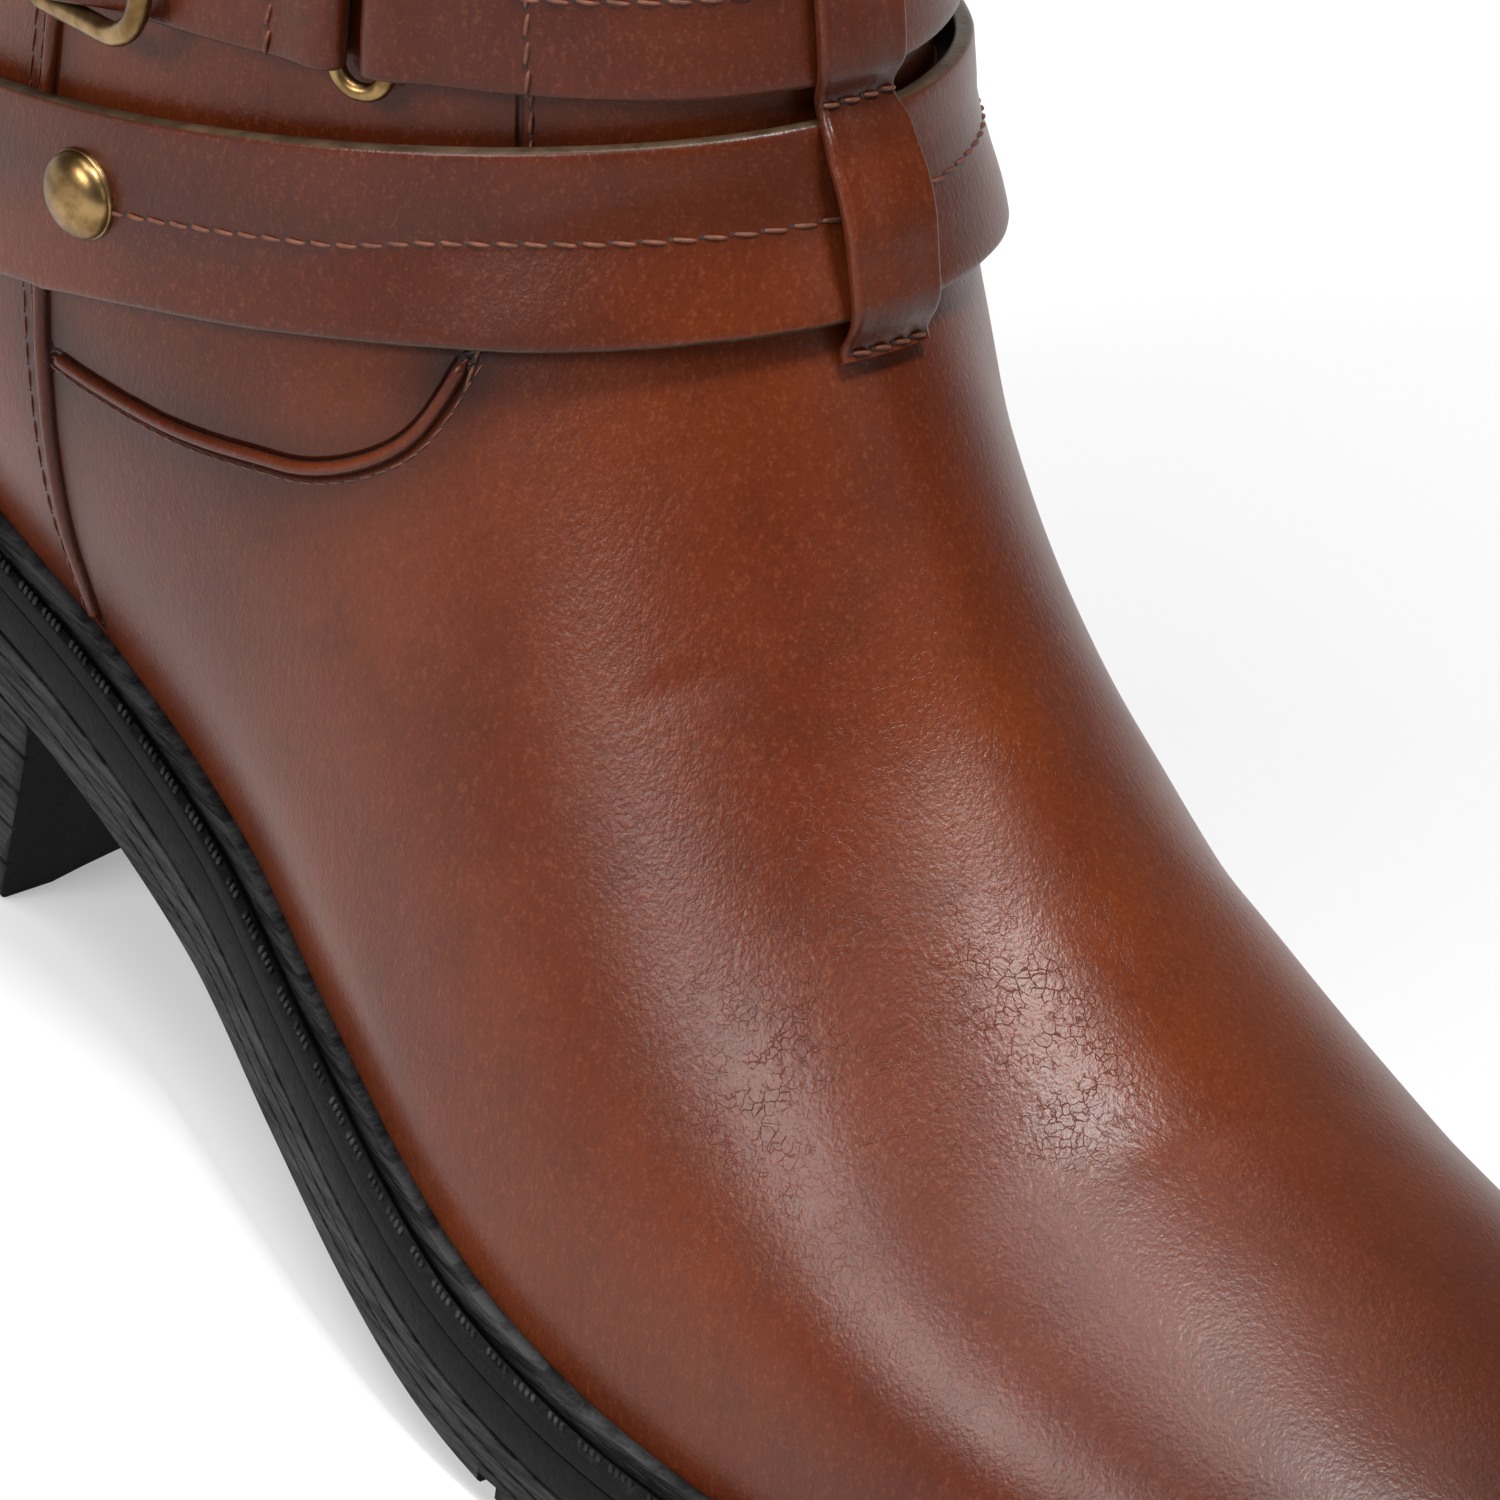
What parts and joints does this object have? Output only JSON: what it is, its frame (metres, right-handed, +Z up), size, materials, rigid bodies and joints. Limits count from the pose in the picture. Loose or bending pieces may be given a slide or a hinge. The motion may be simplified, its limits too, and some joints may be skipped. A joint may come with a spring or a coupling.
{
  "type": "tall boot",
  "caption": "Tall heeled riding-style boot in burnished brown leather, with a welted rubber sole and two ankle straps, one buckled.",
  "frame": {"origin": "middle of the heel's flat bottom, on the floor", "axes": "+X to the toe, +Y to the inner (big toe) side, +Z up the shaft"},
  "size_m": [0.2792, 0.109, 0.385],
  "materials": {
    "rubber": "matt moulded black rubber",
    "leather": "burnished chestnut leather, satin, darker at seams and toe",
    "strap_leather": "burnished strap leather with stitched lines and khaki painted edges",
    "lining": "plain tan lining",
    "brass": "antique brass, satin"
  },
  "bodies": {
    "root": {"heel_block": "rubber", "outsole": "rubber", "midsole": "rubber", "storm_welt": "rubber", "insole": "lining", "upper": "leather", "side_seam_outer": "leather", "side_seam_inner": "leather", "vamp_piping_outer": "leather", "vamp_piping_inner": "leather", "lower_strap": "strap_leather", "long_strap": "strap_leather", "short_strap": "strap_leather", "link": "brass", "buckle": "brass", "prong": "brass", "front_keeper": "strap_leather", "stud": "brass"}
  },
  "joints": []
}
